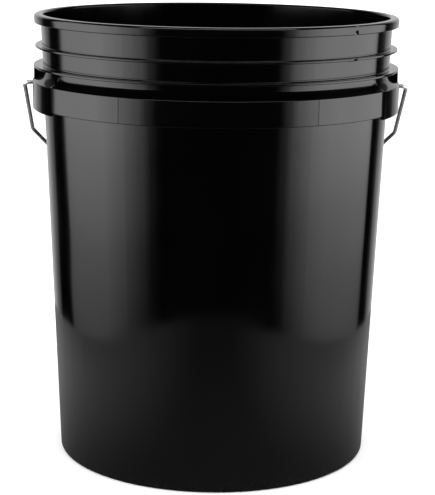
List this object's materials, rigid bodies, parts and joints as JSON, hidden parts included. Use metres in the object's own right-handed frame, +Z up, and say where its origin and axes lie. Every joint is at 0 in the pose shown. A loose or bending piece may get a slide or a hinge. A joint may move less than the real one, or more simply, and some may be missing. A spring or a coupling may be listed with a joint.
{
  "type": "wash bucket",
  "caption": "Open-top round pail with a beaded rim, ribbed neck, skirted band and a swinging wire bail that carries a roller grip.",
  "frame": {"origin": "on the pail's axis, at the plane that it stands on", "axes": "+Z up along the pail's axis; the ears that hold the bail are on +X and -X; the bail hangs at the back, +Y, at rest"},
  "size_m": [0.323, 0.3083, 0.3695],
  "materials": {
    "black_pail_plastic": "glossy black moulded polyethylene",
    "galvanised_wire": "bright galvanised drawn wire",
    "black_grip_plastic": "satin black moulded plastic"
  },
  "bodies": {
    "pail": {"pail_body": "black_pail_plastic"},
    "bail": {"bail_wire": "galvanised_wire"},
    "grip": {"bail_grip": "black_grip_plastic"}
  },
  "joints": [
    {"name": "bail_swing", "type": "hinge", "parent": "pail", "child": "bail", "pos_m": [0, 0, 0.311], "axis": [1, 0, 0], "range_deg": [0, 257.7]},
    {"name": "grip_spin", "type": "hinge", "parent": "bail", "child": "grip", "pos_m": [0, 0.14786, 0.19173], "axis": [1, 0, 0], "continuous": true}
  ]
}
